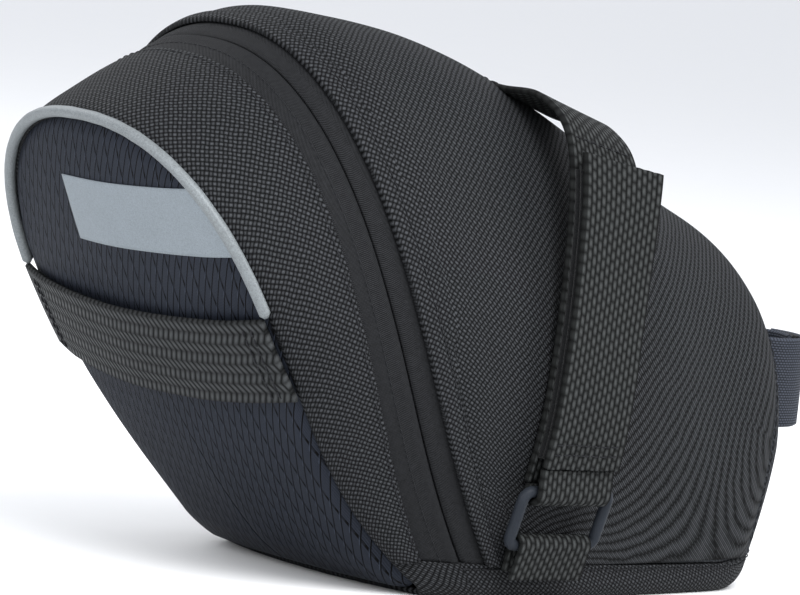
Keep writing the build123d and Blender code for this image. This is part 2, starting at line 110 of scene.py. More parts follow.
def envelope(s, t, inset=0.0):
    """Points of the bag's form. s is the section, t runs round it: 0 at the crest, -1 on the
    right and +1 on the left at the middle of the base."""
    s, t = np.broadcast_arrays(np.asarray(s, float), np.asarray(t, float))
    bx, bz, cx, cz, base_w, wide_w, wide_at = np.moveaxis(spline_at(SECTIONS, SECTION_CURVE, s), -1, 0)
    height = np.hypot(cx - bx, cz - bz)
    wide_h = wide_at * height
    arch_h = height - inset - wide_h
    base, wide = base_w - inset, wide_w - inset
    side, around = np.sign(t), np.abs(t)
    angle = np.clip(around / 0.5, 0, 1) * PI / 2
    u = wide * np.sin(angle) ** ARCH_POWER
    v = wide_h + arch_h * np.cos(angle) ** ARCH_POWER
    q = np.clip((around - 0.5) / 0.3, 0, 1)
    fall = wide_h - inset - CORNER
    drawn_in = wide * (2 * q**3 - 3 * q**2 + 1) + base * (3 * q**2 - 2 * q**3) - 0.2 * fall * (q**3 - q**2)
    u = np.where(around > 0.5, drawn_in, u)
    v = np.where(around > 0.5, wide_h - fall * q, v)
    turn = np.clip((around - 0.8) / 0.06, 0, 1) * PI / 2
    u = np.where(around > 0.8, base - CORNER + CORNER * np.cos(turn), u)
    v = np.where(around > 0.8, inset + CORNER - CORNER * np.sin(turn), v)
    flat = np.clip((around - 0.86) / 0.14, 0, 1)
    u = np.where(around > 0.86, (base - CORNER) * (1 - flat), u)
    z = bz + (cz - bz) * v / height
    z = np.where(around > 0.8, np.maximum(z, inset), z)
    return np.stack([bx + (cx - bx) * v / height, side * u, z], -1)


def section_where(measure, value, t):
    """The section at which a measure of the envelope's points falls to a value, for each t."""
    s = np.linspace(0, LAST, 301)
    t = np.atleast_1d(t)
    table = measure(envelope(s[:, None], t[None, :]))
    return np.array([np.interp(-value, -table[:, k], s) for k in range(len(t))])


def zip_distance(points):
    return np.hypot(points[..., 0] - ZIP_AXIS[0], points[..., 2] - ZIP_AXIS[1])


def dome_distance(points):
    return np.linalg.norm(points - DOME_C, axis=-1)


def zip_line(radius, t):
    return section_where(zip_distance, radius, t)


def dome_line(radius, t):
    return section_where(dome_distance, radius, t)


def seam_t(level, s):
    """How far round the section the base seam's height is reached."""
    t = np.linspace(0.5, 0.86, 200)
    z = envelope(s, t)[:, 2]
    return float(np.interp(-level, -z, t))


def lines_between(s_near, s_far, rows):
    """Section values for a strip of rows between two lines."""
    share = np.linspace(0, 1, rows)[:, None]
    return s_near[None, :] * (1 - share) + s_far[None, :] * share


def normals_of(grid):
    du = np.gradient(grid, axis=0)
    dv = np.gradient(grid, axis=1)
    n = np.cross(du, dv)
    return n / np.maximum(np.linalg.norm(n, axis=-1, keepdims=True), 1e-9)


def outward(grid, centre=(10.0, 0.0, 50.0)):
    """Unit normals that point away from the middle of the bag."""
    n = normals_of(grid)
    if np.sum(n * (grid - np.array(centre))) < 0:
        n = -n
    return n


def wrinkles(grid, scale, seed):
    """Smooth noise in -1..1 at each point of a grid, for sag and creases."""
    flat = grid.reshape(-1, 3)
    values = [noise.noise(Vector((p[0] / scale + seed, p[1] / scale, p[2] / scale))) for p in flat]
    return np.array(values).reshape(grid.shape[:-1])


def run_lengths(grid, axis):
    """Arc length along one axis of a grid, taken along each of its lines, so that a weave stays even."""
    steps = np.linalg.norm(np.diff(grid, axis=axis), axis=-1)
    if axis == 0:
        return np.concatenate([np.zeros((1, grid.shape[1])), np.cumsum(steps, 0)])
    return np.concatenate([np.zeros((grid.shape[0], 1)), np.cumsum(steps, 1)], 1)


# ---- mesh makers --------------------------------------------------------------------------


def make_mesh(name, points, faces, uvs=None, material=None):
    mesh = bpy.data.meshes.new(name)
    mesh.from_pydata((np.asarray(points) * MM).tolist(), [], faces)
    if uvs is not None:
        layer = mesh.uv_layers.new(name="UVMap")
        corner = np.empty(len(mesh.loops), int)
        mesh.loops.foreach_get("vertex_index", corner)
        layer.data.foreach_set("uv", np.asarray(uvs, float)[corner].ravel())
    mesh.polygons.foreach_set("use_smooth", [True] * len(mesh.polygons))
    mesh.update()
    piece = bpy.data.objects.new(name, mesh)
    bpy.context.scene.collection.objects.link(piece)
    if material:
        mesh.materials.append(material)
    return piece


def slab(name, grid, thick, material, uv=None, lift=0.0, normals=None):
    """A closed sheet of cloth from a grid: its outer face, a rounded rim and its inner face."""
    n = outward(grid) if normals is None else normals
    cols = grid.shape[1]
    if uv is None:
        uv = np.stack([run_lengths(grid, 1), run_lengths(grid, 0)], -1)
        uv[..., 0] -= uv[:, cols // 2:cols // 2 + 1, 0]
    outer = grid + n * lift
    inner = outer - n * thick
    middle = outer - n * thick / 2
    across = np.gradient(grid, axis=0)
    across /= np.maximum(np.linalg.norm(across, axis=-1, keepdims=True), 1e-9)
    first = middle[:1] - across[:1] * thick * 0.35
    last = middle[-1:] + across[-1:] * thick * 0.35
    ring = np.concatenate([outer, last, inner[::-1], first], 0)
    ring_uv = np.concatenate([uv, uv[-1:], uv[::-1], uv[:1]], 0)
    count = ring.shape[0]
    faces = []
    for i in range(count):
        j = (i + 1) % count
        for k in range(cols - 1):
            faces.append((i * cols + k, i * cols + k + 1, j * cols + k + 1, j * cols + k))
    faces.append(tuple(i * cols for i in range(count)))
    faces.append(tuple(i * cols + cols - 1 for i in reversed(range(count))))
    piece = make_mesh(name, ring.reshape(-1, 3), faces, ring_uv.reshape(-1, 2), material)
    fix_normals(piece)
    return piece


def fix_normals(piece):
    bm = bmesh.new()
    bm.from_mesh(piece.data)
    bmesh.ops.recalc_face_normals(bm, faces=bm.faces)
    bm.to_mesh(piece.data)
    bm.free()


def sweep_frame(path, closed):
    """Tangents and two steady sideways directions along a path."""
    if closed:
        tangent = np.roll(path, -1, 0) - np.roll(path, 1, 0)
    else:
        tangent = np.gradient(path, axis=0)
    tangent /= np.linalg.norm(tangent, axis=-1, keepdims=True)
    side = np.empty_like(path)
    seed = np.array([0.0, 0.0, 1.0]) if abs(tangent[0][2]) < 0.9 else np.array([1.0, 0, 0])
    previous = np.cross(tangent[0], seed)
    for i, direction in enumerate(tangent):
        previous = previous - direction * (previous @ direction)
        previous = previous / np.linalg.norm(previous)
        side[i] = previous
    return tangent, side, np.cross(tangent, side)


def tube_data(path, radius, sides=10, closed=False):
    """Vertices, faces and UVs of a tube, with rounded ends when it is open."""
    path = np.asarray(path, float)
    radii = np.broadcast_to(np.asarray(radius, float), (len(path),)).copy()
    tangent, side, other = sweep_frame(path, closed)
    if not closed:
        for end, step in ((0, -1), (-1, 1)):
            cap = path[end] + tangent[end] * step * radii[end] * 0.7
            path = np.insert(path, 0 if end == 0 else len(path), cap, 0)
            radii = np.insert(radii, 0 if end == 0 else len(radii), radii[end] * 0.45)
            side = np.insert(side, 0 if end == 0 else len(side), side[end], 0)
            other = np.insert(other, 0 if end == 0 else len(other), other[end], 0)
    angle = np.linspace(0, 2 * PI, sides, endpoint=False)
    ring = side[:, None] * np.cos(angle)[None, :, None] + other[:, None] * np.sin(angle)[None, :, None]
    points = path[:, None] + ring * radii[:, None, None]
    n = len(path)
    run = np.concatenate([[0], np.cumsum(np.linalg.norm(np.diff(path, axis=0), axis=-1))])
    uv = np.stack(np.broadcast_arrays(run[:, None], (angle * radii.mean())[None]), -1)
    faces = []
    for i in range(n if closed else n - 1):
        for k in range(sides):
            a, b = i * sides, ((i + 1) % n) * sides
            faces.append((a + k, a + (k + 1) % sides, b + (k + 1) % sides, b + k))
    if not closed:
        faces.append(tuple(reversed(range(sides))))
        faces.append(tuple((n - 1) * sides + k for k in range(sides)))
    return points.reshape(-1, 3), faces, uv.reshape(-1, 2)


def joined(name, chunks, material):
    """One mesh from several sets of vertices, faces and UVs."""
    points, faces, uvs = [], [], []
    start = 0
    for p, f, uv in chunks:
        points.append(p)
        uvs.append(uv)
        faces += [tuple(i + start for i in face) for face in f]
        start += len(p)
    return make_mesh(name, np.concatenate(points), faces, np.concatenate(uvs), material)


def resample(path, step):
    path = np.asarray(path, float)
    run = np.concatenate([[0], np.cumsum(np.linalg.norm(np.diff(path, axis=0), axis=-1))])
    count = max(2, int(round(run[-1] / step)) + 1)
    at = np.linspace(0, run[-1], count)
    return np.stack([np.interp(at, run, path[:, k]) for k in range(path.shape[1])], -1)


def stitches(name, paths, material, pitch=2.7, length=1.9, radius=0.16):
    """Rows of thread: short raised stitches that dip into the cloth at both ends."""
    chunks = []
    for path, normal in paths:
        path = np.asarray(path, float)
        both = resample(np.concatenate([path, np.broadcast_to(normal, path.shape)], 1), pitch)
        points, up = both[:, :3], both[:, 3:]
        for i in range(len(points) - 1):
            a, b = points[i], points[i] + (points[i + 1] - points[i]) * length / pitch
            n = up[i] / np.linalg.norm(up[i])
            share = np.linspace(0, 1, 5)[:, None]
            arc = a + (b - a) * share + n * (np.sin(share * PI) * radius * 1.5 - radius * 0.6)
            chunks.append(tube_data(arc, radius, 6))
    return joined(name, chunks, material)



# ---- materials ----------------------------------------------------------------------------


class Wire:
    """A number carried by a node socket, so that patterns read as arithmetic."""

    def __init__(self, tree, socket):
        self.tree, self.socket = tree, socket

    def math(self, operation, other=None, third=None):
        node = self.tree.nodes.new("ShaderNodeMath")
        node.operation = operation
        self.tree.links.new(self.socket, node.inputs[0])
        for index, value in ((1, other), (2, third)):
            if isinstance(value, Wire):
                self.tree.links.new(value.socket, node.inputs[index])
            elif value is not None:
                node.inputs[index].default_value = value
        return Wire(self.tree, node.outputs[0])

    def __add__(self, other):
        return self.math("ADD", other)

    def __sub__(self, other):
        return self.math("SUBTRACT", other)

    def __mul__(self, other):
        return self.math("MULTIPLY", other)

    def over(self, other):
        return self.math("DIVIDE", other)

    def wave(self, pitch):
        """0 to 1 and back over each pitch."""
        return (self * (PI / pitch)).math("SINE").math("ABSOLUTE")

    def parity(self, pitch):
        """0 on even stripes of that width and 1 on odd ones."""
        return (self * (1 / pitch)).math("FLOOR").math("FLOORED_MODULO", 2.0)

    def above(self, limit):
        return self.math("GREATER_THAN", limit)

    def mix(self, low, high):
        """low where this is 0 and high where it is 1."""
        return (high - low) * self + low

    def step(self, low, high):
        node = self.tree.nodes.new("ShaderNodeMapRange")
        node.interpolation_type = "SMOOTHSTEP"
        self.tree.links.new(self.socket, node.inputs["Value"])
        node.inputs["From Min"].default_value = low
        node.inputs["From Max"].default_value = high
        return Wire(self.tree, node.outputs["Result"])


class Paint:
    """A material being built: its coordinates, noises, colour, roughness and bump."""

    def __init__(self, name):
        self.material = bpy.data.materials.new(name)
        self.material.use_nodes = True
        self.tree = self.material.node_tree
        self.shader = self.tree.nodes["Principled BSDF"]
        self.shader.inputs["Specular IOR Level"].default_value = 0.07
        split = self.tree.nodes.new("ShaderNodeSeparateXYZ")
        self.tree.links.new(self.tree.nodes.new("ShaderNodeUVMap").outputs[0], split.inputs[0])
        self.u = Wire(self.tree, split.outputs[0])
        self.v = Wire(self.tree, split.outputs[1])
        self.place = self.tree.nodes.new("ShaderNodeTexCoord").outputs["Object"]

    def noise(self, size, detail=2.0):
        """Noise in 0..1 with features of about that size in millimetres."""
        node = self.tree.nodes.new("ShaderNodeTexNoise")
        node.inputs["Scale"].default_value = 1000.0 / size
        node.inputs["Detail"].default_value = detail
        self.tree.links.new(self.place, node.inputs["Vector"])
        return Wire(self.tree, node.outputs["Fac"])

    def cells(self, size):
        node = self.tree.nodes.new("ShaderNodeTexVoronoi")
        node.inputs["Scale"].default_value = 1000.0 / size
        self.tree.links.new(self.place, node.inputs["Vector"])
        split = self.tree.nodes.new("ShaderNodeSeparateColor")
        self.tree.links.new(node.outputs["Color"], split.inputs[0])
        return Wire(self.tree, split.outputs[0])

    def colour(self, share, low, high):
        node = self.tree.nodes.new("ShaderNodeMix")
        node.data_type = "RGBA"
        self.tree.links.new(share.socket, node.inputs[0])
        node.inputs[6].default_value = (*low, 1)
        node.inputs[7].default_value = (*high, 1)
        self.tree.links.new(node.outputs[2], self.shader.inputs["Base Color"])

    def rough(self, share, low, high):
        self.tree.links.new((share * (high - low) + low).socket, self.shader.inputs["Roughness"])

    def bump(self, height, depth, strength=1.0):
        """height is 0..1, and depth is how deep that is, in millimetres."""
        node = self.tree.nodes.new("ShaderNodeBump")
        node.inputs["Strength"].default_value = strength
        node.inputs["Distance"].default_value = depth * MM
        self.tree.links.new(height.socket, node.inputs["Height"])
        self.tree.links.new(node.outputs[0], self.shader.inputs["Normal"])

    def sheen(self, amount, roughness=0.4):
        self.shader.inputs["Sheen Weight"].default_value = amount
        self.shader.inputs["Sheen Roughness"].default_value = roughness


def plain_weave(name, low, high, pitch=1.0, depth=0.22, sheen=0.0):
    """Coarse plain weave laid on the bias: threads pass over and under each other in a checkerboard."""
    p = Paint(name)
    jitter = p.noise(5.0) * 0.9
    u, v = (p.u + p.v) * BIAS + jitter, (p.v - p.u) * BIAS + jitter * 0.7
    over = (u.parity(pitch) - v.parity(pitch)).math("ABSOLUTE")
    along = u.wave(pitch) * (v.wave(pitch) * 0.7 + 0.3)
    cross = v.wave(pitch) * (u.wave(pitch) * 0.7 + 0.3)
    height = over.mix(cross * 0.72, along)
    cloudy = p.noise(26.0, 3.0) * 0.12 + p.noise(1.1) * 0.5
    # The colour follows the thread height: painted highlights on the crowns of the threads and painted
    # shade in the hollows between them; cloudy adds a random tone.
    p.colour((height * (cloudy + 0.8)).math("POWER", 1.5), low, high)
    p.rough(height, 0.8, 0.55)
    p.bump(height + p.noise(0.5) * 0.15, depth)
    p.sheen(sheen)
    return p.material


def ribbed_webbing(name, low, high, rib=1.33, row=2.4, depth=0.4):
    """Narrow webbing: round ribs along it, with picks that step by half a row from rib to rib."""
    p = Paint(name)
    u = p.u + p.noise(5.0) * 0.25
    shift = u.parity(rib) * (row / 2)
    height = u.wave(rib) * ((p.v + shift + p.noise(4.0) * 0.4).wave(row) * 0.8 + 0.2)
    fibre = (p.v + u * 0.6).wave(0.23) * 0.12
    # Colour follows the rib height: painted highlights on the crowns of the ribs and picks and painted
    # shade between them.
    p.colour((height * 0.95 + fibre + p.noise(1.6) * 0.2 - 0.1).math("POWER", 1.4), low, high)
    p.rough(height, 0.8, 0.5)
    p.bump(height + fibre, depth)
    return p.material


def zigzag_webbing(name, low, high):
    """Polypropylene webbing whose picks run in small chevrons."""
    p = Paint(name)
    fold = (p.u * (1 / 2.5)).math("PINGPONG", 1.0) * 1.25
    height = (p.v + fold + p.noise(5.0) * 0.3).wave(1.55) * (p.u.wave(2.5) * 0.5 + 0.5)
    fibre = (p.v * 0.7 + p.u).wave(0.26) * 0.16
    # Colour follows the height of the picks: painted highlights on their crowns and painted shade between
    # them.
    p.colour((height * 0.95 + fibre + p.noise(1.6) * 0.2 - 0.1).math("POWER", 1.4), low, high)
    p.rough(height, 0.72, 0.46)
    p.bump(height + fibre, 0.38)
    return p.material


def ripstop(name, low, high):
    """Padded rear cloth: fine upright ribs, crossed by upright and steep dark lines in a slanting
    lattice, with a short pale tick where they meet."""
    p = Paint(name)
    u = p.u + p.noise(11.0) * 0.25
    v = p.v + p.noise(13.0) * 0.25
    column, row = 3.75, 4.0
    across = (u * (1 / column)).math("FRACT")
    along = ((v + u * (2 * row / column)) * (1 / row)).math("FRACT")
    half = (v * (1 / row)).math("FRACT").step(0.35, 0.6)
    upright = across.math("COMPARE", 0.05, 0.055) * (half * -0.55 + 1.0)
    steep = along.math("COMPARE", 0.06, 0.075) * 0.85
    lines = upright.math("MAXIMUM", steep)
    tick = along.math("COMPARE", 0.2, 0.06) * across.math("COMPARE", 0.14, 0.13)
    ribs = u.wave(0.34)
    height = (ribs * 0.2 + 0.55) * (lines * -0.85 + 1.0) + tick * 0.3
    # Colour follows the height: painted shade in the sunken lattice lines and painted highlights on the
    # ribs and raised ticks.
    p.colour(height * 1.3 + p.noise(16.0, 3.0) * 0.15 - 0.42 + tick * 0.6, low, high)
    p.rough(height, 0.75, 0.5)
    p.bump(height, 0.2)
    return p.material


def herringbone(name, low, high, stripe=3.2, pitch=0.5):
    """Zip tape: a twill that changes its slant from one lengthwise stripe to the next."""
    p = Paint(name)
    slant = (p.v * (1 / stripe)).math("PINGPONG", 1.0) * (stripe * 1.2)
    height = (p.u + slant).wave(pitch) * (p.v.wave(pitch * 0.7) * 0.35 + 0.65)
    # Colour follows the twill height: painted highlights on the crowns of the twill lines and painted
    # shade between them.
    p.colour(height * 0.9 + p.noise(0.9) * 0.45 - 0.25, low, high)
    p.rough(height, 0.8, 0.6)
    p.bump(height, 0.1)
    return p.material


def reflective(name, low, high):
    """Glass-bead cloth: a fine bright and dark sparkle over an even grey."""
    p = Paint(name)
    grain = p.cells(0.2)
    p.colour(grain * 0.5 + p.noise(0.6) * 0.35 + p.noise(8.0) * 0.2, low, high)
    p.rough(grain, 0.3, 0.55)
    p.shader.inputs["Metallic"].default_value = 0.25
    p.bump(grain * 0.6 + p.noise(1.1) * 0.4, 0.03)
    return p.material


def hook_and_loop(name, low, high):
    p = Paint(name)
    fuzz = p.noise(0.45, 4.0)
    height = fuzz * 0.7 + p.u.wave(0.9) * p.v.wave(0.8) * 0.5
    p.colour(height - 0.1, low, high)
    p.rough(fuzz, 0.95, 0.75)
    p.bump(height, 0.4)
    p.sheen(0.08, 0.6)
    return p.material


def moulded(name, low, high, rough=(0.34, 0.5), grain=0.5, metallic=0.0):
    p = Paint(name)
    speck = p.noise(grain, 3.0)
    wear = p.noise(7.0, 4.0)
    p.colour(wear * 0.7 + speck * 0.3 - 0.1, low, high)
    p.rough(wear, *rough)
    p.bump(speck, 0.02)
    p.shader.inputs["Metallic"].default_value = metallic
    return p.material


def thread(name, low, high):
    p = Paint(name)
    twist = (p.u + p.v * 1.4).wave(0.32)
    p.colour(twist * 0.8 + p.noise(3.0) * 0.2, low, high)
    p.rough(twist, 0.7, 0.5)
    p.bump(twist, 0.05)
    return p.material


# In the woven cloths, webbings and zip tape below, the low colour is painted shade between the threads and
# the high colour is painted highlight on their crowns.
CLOTH = plain_weave("shell_cloth", (0.0006, 0.0007, 0.0008), (0.042, 0.0445, 0.0485))
# A darker, bluer copy of the shell cloth for the front panel: painted shade.
FRONT_CLOTH_PAINTED_SHADE = plain_weave("front_cloth_painted_shade", (0.0008, 0.001, 0.0014), (0.031, 0.0355, 0.044))
RIPSTOP = ripstop("ripstop_cloth", (0.0006, 0.0007, 0.0011), (0.0235, 0.0285, 0.041))
WEBBING = ribbed_webbing("strap_webbing", (0.0005, 0.0006, 0.0006), (0.041, 0.044, 0.044))
LOOP_WEB = zigzag_webbing("loop_webbing", (0.0005, 0.0006, 0.0006), (0.046, 0.049, 0.051))
POST_WEB = ribbed_webbing("post_webbing", (0.006, 0.0068, 0.0085), (0.05, 0.057, 0.074),
                          rib=0.6, row=0.9, depth=0.12)
TAPE = herringbone("zip_twill", (0.0006, 0.0007, 0.0008), (0.0245, 0.0255, 0.028))
SILVER = reflective("reflective_cloth", (0.1, 0.108, 0.112), (0.215, 0.235, 0.245))
PATCH = reflective("reflective_patch_cloth", (0.13, 0.15, 0.163), (0.215, 0.243, 0.268))
LINING = plain_weave("lining_cloth", (0.06, 0.064, 0.07), (0.15, 0.158, 0.17), pitch=0.4, depth=0.05,
                     sheen=0.05)
FUZZ = hook_and_loop("hook_and_loop_pile", (0.001, 0.0011, 0.0013), (0.014, 0.015, 0.0165))
RING = moulded("ring_plastic", (0.012, 0.0145, 0.019), (0.026, 0.03, 0.037))
METAL = moulded("zip_metal", (0.01, 0.01, 0.011), (0.03, 0.03, 0.033), rough=(0.25, 0.4), metallic=0.7)
RUBBER = moulded("pull_rubber", (0.006, 0.006, 0.007), (0.016, 0.0165, 0.018), rough=(0.5, 0.65))
COIL = moulded("zip_coil", (0.0015, 0.0015, 0.0017), (0.009, 0.009, 0.01), rough=(0.3, 0.45))
BOARD = moulded("board_plastic", (0.008, 0.008, 0.0085), (0.02, 0.02, 0.021), rough=(0.45, 0.6))
FLOOR = moulded("pale_floor", (0.84, 0.845, 0.85), (0.87, 0.875, 0.88), rough=(0.7, 0.85), grain=40.0)
THREAD = thread("sewing_thread", (0.006, 0.0063, 0.007), (0.026, 0.027, 0.03))


def settle(piece, body, slot, *nodes):
    """The piece rides on a body and stands for frame nodes, which it hides. Its slot is not used."""
    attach(piece, body)
    if nodes:
        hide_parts(*nodes)
    return piece

# ---- rear panel, its piping, patch and light loop -----------------------------------------
ROUND = np.linspace(-1, 1, 361)           # once round the bag, from base to base
PANEL_EDGE = dome_line(DOME_R, ROUND)
EDGE = envelope(PANEL_EDGE, ROUND)


PANEL_N = np.array([-math.sqrt(DOME_R**2 - (PANEL_Z - DOME_C[2])**2), 0, PANEL_Z - DOME_C[2]]) / DOME_R
PANEL_UP = np.array([PANEL_N[2], 0, -PANEL_N[0]])
PANEL_DATUM = DOME_C + PANEL_N * DOME_R


def dome_point(y, up, radius=DOME_R):
    """Points of the rear panel's dome: y across it, up along its slope from the datum."""
    reach = np.sqrt(np.maximum(radius**2 - y**2 - up**2, 1.0))
    across = np.array([0, 1.0, 0]) * y[..., None]
    return DOME_C + PANEL_N * reach[..., None] + PANEL_UP * up[..., None] + across


def from_dome(grid):
    """Unit vectors out of the dome."""
    return (grid - DOME_C) / np.linalg.norm(grid - DOME_C, axis=-1, keepdims=True)


def climb(z):
    """How far up the panel's slope a height is."""
    return (z - PANEL_Z) / PANEL_UP[2]


def panel_swell(grid, share):
    """Slack of the padded panel: share is 0 in its middle and 1 at its edge."""
    return (1 - share**6) * 0.7 + wrinkles(grid, 26.0, 3.0) * 0.7 * (1 - share**8)


def build_rear_panel():
    edge_y, edge_up = EDGE[:, 1], (EDGE - PANEL_DATUM) @ PANEL_UP
    middle_up = (edge_up.max() + edge_up.min()) / 2
    share = np.linspace(0.01, 1.0, 70)[:, None] ** 0.8
    inset = 0.985
    y = edge_y[None] * share * inset
    up = middle_up + (edge_up - middle_up)[None] * share * inset
    grid = dome_point(y, up)
    out = from_dome(grid)
    tuck = np.clip((share - 0.93) / 0.07, 0, 1) ** 2
    press = np.exp(-((up - climb(LOOP_Z)) / 12.0) ** 4) * np.exp(-((np.abs(y) - 40.0) / 12.0) ** 2)
    low = np.clip((climb(40.0) - up) / 45.0, 0, 1) ** 2 * (1 - share**6) * 2.2
    grid = grid + out * (panel_swell(grid, share) + low - tuck * 1.5 - press * 0.8)[..., None]
    uv = np.stack([y, up], -1)
    piece = slab("rear_panel_pad", grid, SKIN + FOAM - 0.3, RIPSTOP, uv=uv, normals=out)
    settle(piece, "rear_shell", "ripstop", "rear_panel", "rear_foam")


def build_piping():
    up = (EDGE - PANEL_DATUM) @ PANEL_UP
    path = EDGE[up > climb(LOOP_Z + 9.0)]
    out = from_dome(path)
    side = path - path.mean(0)
    side = side - out * np.sum(side * out, -1, keepdims=True)
    side /= np.linalg.norm(side, axis=-1, keepdims=True)
    path = resample(path + out * 0.3 - side * 0.35, 0.8)
    radius = 1.25 + 0.09 * wrinkles(path, 4.0, 0.0)
    piece = make_mesh("reflective_piping_cord", *tube_data(path, radius, 16), SILVER)
    settle(piece, "rear_shell", "reflective", "reflective_piping")


PATCH_CORNERS = np.array([(11.0, 34.0), (-28.5, 35.0), (-34.5, 20.0), (10.0, 19.5)])


def build_patch():
    """The patch is bonded to the cloth, and its right end runs in under the piping."""
    across = np.linspace(0, 1, 60)[None, :]
    down = np.linspace(0, 1, 24)[:, None]
    a, b, c, d = PATCH_CORNERS
    left = a * (1 - down) + d * down
    right_up = b[1] * (1 - down) + c[1] * down
    edge = EDGE[(ROUND < 0) & (ROUND > -0.6)]
    edge_up = (edge - PANEL_DATUM) @ PANEL_UP
    right_y = np.interp(right_up, edge_up, edge[:, 1] * 0.985)
    y = left[:, :1] * (1 - across) + right_y * across
    up = left[:, 1:] * (1 - across) + right_up * across
    grid = dome_point(y, up)
    out = from_dome(grid)
    share = np.clip(np.abs(y / np.interp(up, edge_up, edge[:, 1])), 0, 1)
    tuck = np.clip((share - 0.95) / 0.05, 0, 1) ** 2 * 0.9
    grid = grid + out * (panel_swell(grid, share) - tuck)[..., None]
    piece = slab("reflective_patch_face", grid, 0.3, PATCH, normals=out, lift=0.16)
    settle(piece, "rear_shell", "reflective", "reflective_patch")


def build_light_loop():
    y = np.linspace(-41.5, 43.0, 170)[None]
    rise = np.linspace(-WEB / 2, WEB / 2, 19)[:, None]
    y, rise = np.broadcast_arrays(y, rise)
    grid = dome_point(y, climb(LOOP_Z) + rise)
    out = from_dome(grid)
    end = np.clip((np.abs(y) - 33.0) / 9.0, 0, 1)
    lifted = 2.0 * (1 - (np.abs(y) / 42.0) ** 2) + 1.3 + wrinkles(grid, 18.0, 8.0) * 0.35 - end * 0.5
    grid = grid + out * lifted[..., None]
    piece = slab("light_loop_webbing", grid, 1.4, LOOP_WEB, normals=out, lift=0.5,
                 uv=np.stack([rise + WEB / 2, y], -1))
    settle(piece, "rear_shell", "webbing", "light_loop")
    rows = []
    for at in (-38.6, -36.4, 36.4, 38.6):
        k = int(np.argmin(np.abs(y[0] - at)))
        rows.append((grid[1:-1, k] + out[1:-1, k] * 0.55, out[1:-1, k]))
    sewn = stitches("light_loop_stitching", rows, THREAD, pitch=2.2, length=1.6, radius=0.2)
    settle(sewn, "rear_shell", "webbing")


# ---- gusset, zip and the folded hem -------------------------------------------------------
def strip(name, s_rows, t, material, thick, lift=0.0, bulge=None, uv=None):
    grid = envelope(s_rows, np.broadcast_to(t, s_rows.shape))
    n = outward(grid)
    if bulge is not None:
        grid = grid + n * bulge(grid)[..., None]
    return slab(name, grid, thick, material, lift=lift, normals=n, uv=uv), grid, n


def arch_range(radius, level=SEAM_Z, count=341):
    """Values of t that run round the bag along a line of the zip, down to a level."""
    t = np.linspace(-0.86, 0.86, 401)
    z = envelope(zip_line(radius, t), t)[:, 2]
    half = t > 0
    limit = float(np.interp(-level, -z[half], t[half]))
    return np.linspace(-limit, limit, count)


def build_gusset():
    t = arch_range(ZIP_R + TAPE_REAR)
    near, far = dome_line(DOME_R - 0.6, t), zip_line(ZIP_R + TAPE_REAR - 0.4, t)
    rows = lines_between(near, far, 60)
    share = np.linspace(0, 1, 60)[:, None]

    def bulge(grid):
        pull = np.sin(share * PI) ** 0.8
        crease = wrinkles(grid, 24.0, 1.0) * 0.8 + wrinkles(grid, 9.0, 5.0) * 0.12
        return pull * (0.9 + crease) - np.exp(-share * 14) * 0.7
    piece, grid, n = strip("rear_gusset_cloth", rows, t, CLOTH, SKIN, bulge=bulge)
    settle(piece, "rear_shell", "shell_fabric", "rear_gusset")
    lines = [(grid[-4] + n[-4] * 0.05, n[-4])]
    sewn = stitches("gusset_stitching", lines, THREAD, pitch=2.6, length=1.9, radius=0.12)
    settle(sewn, "rear_shell", "shell_fabric")


TAPE_LIFT = -0.55
COIL_GAP = 0.22                   # from the zip's middle line to the edge of each tape


def zip_tape(name, r_far, r_near, body, slot, node):
    t = arch_range((r_far + r_near) / 2)
    rows = lines_between(zip_line(r_far, t), zip_line(r_near, t), 20)
    share = np.linspace(0, 1, 20)[:, None]
    near_coil = 1 if abs(r_near - ZIP_R) < 1 else -1

    def bulge(grid):
        at = share if near_coil > 0 else 1 - share
        return np.exp(-((at - 0.84) / 0.13) ** 2) * 0.3 - np.clip((at - 0.95) / 0.05, 0, 1) * 0.35
    piece, grid, n = strip(name, rows, t, TAPE, 0.7, lift=TAPE_LIFT, bulge=bulge)
    settle(piece, body, slot, node)
    k = 11 if near_coil > 0 else 8
    line = [(grid[k] + n[k] * (TAPE_LIFT + 0.03), n[k])]
    sewn = stitches(name + "_stitching", line, THREAD, pitch=1.7, length=1.2, radius=0.1)
    return settle(sewn, body, slot)


def zip_coil(name, side, body, node):
    """One half of the coil: a row of loops under the tape's edge, made as one long zigzag wire."""
    t = arch_range(ZIP_R, level=SEAM_Z + 2)
    s = zip_line(ZIP_R + side * 0.9, t)
    inset = SKIN + 1.2
    points = envelope(s, t, inset)
    n = outward(np.stack([envelope(s - 0.02, t, inset), points, envelope(s + 0.02, t, inset)]))[1]
    both = resample(np.concatenate([points, n], 1), 0.45)
    path, up = both[:, :3], both[:, 3:]
    along = np.gradient(path, axis=0)
    along /= np.linalg.norm(along, axis=-1, keepdims=True)
    across = np.cross(along, up)
    phase = np.arange(len(path)) * PI / 2
    wire = path + across * (np.cos(phase) * 0.75)[:, None] + up * (np.sin(phase) * 0.5)[:, None]
    data = tube_data(wire, 0.28, 6)
    piece = make_mesh(name, *data, COIL)
    return settle(piece, body, "zip_coil", node)


